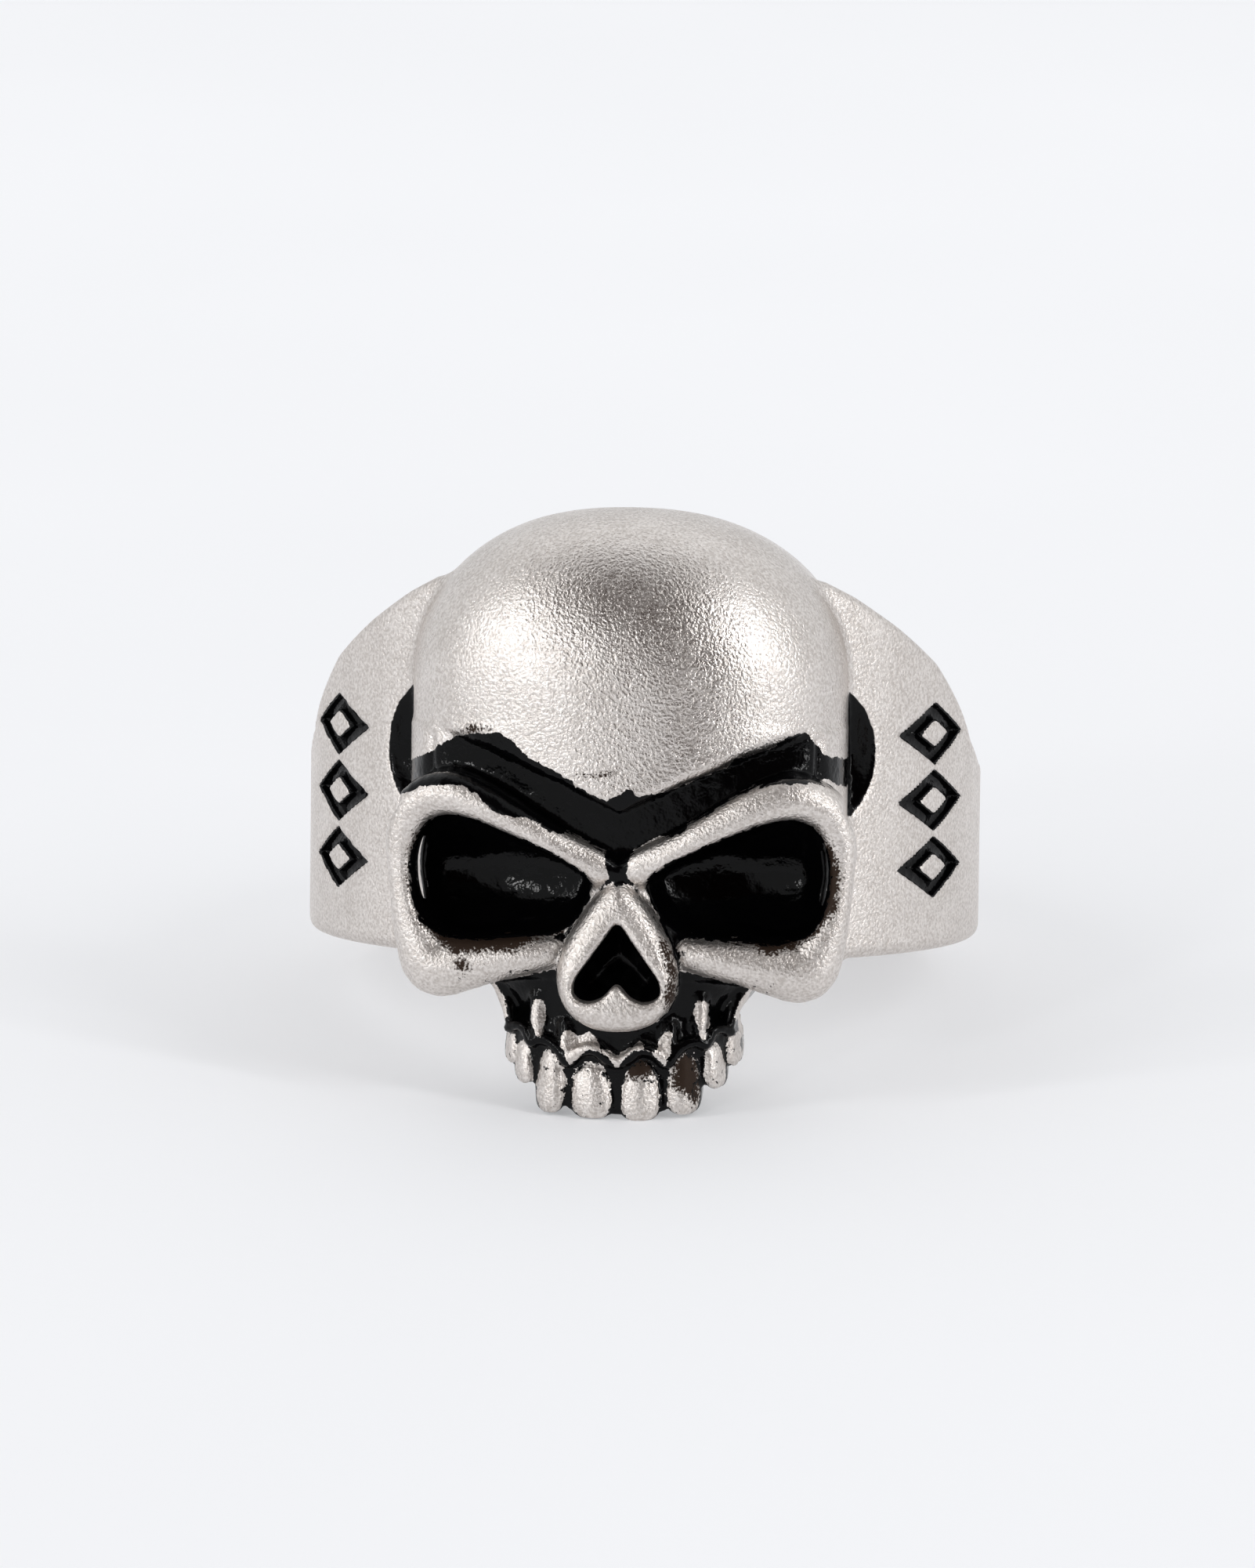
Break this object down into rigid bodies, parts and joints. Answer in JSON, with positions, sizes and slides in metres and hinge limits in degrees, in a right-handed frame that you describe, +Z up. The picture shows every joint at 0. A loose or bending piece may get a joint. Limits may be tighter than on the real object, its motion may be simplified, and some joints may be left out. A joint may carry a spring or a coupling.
{
  "type": "skull ring",
  "caption": "One-piece cast finger ring whose head is a skull without a lower jaw, with blackened hollows and plain tapering shank.",
  "frame": {"origin": "middle of the overall box at floor level, with the ring resting by itself on its front teeth and the back of its lower edge", "axes": "+Z up from the surface it rests on, the skull faces -Y, +X is the viewer's right; the finger axis lies in the Y-Z plane, 11.2 degrees from +Z towards +Y"},
  "size_m": [0.024, 0.0284, 0.0194],
  "materials": {
    "silver": "satin tumbled sterling silver with a glossy black finish in the hollows"
  },
  "bodies": {
    "root": {"ring_body": "silver"}
  },
  "joints": []
}
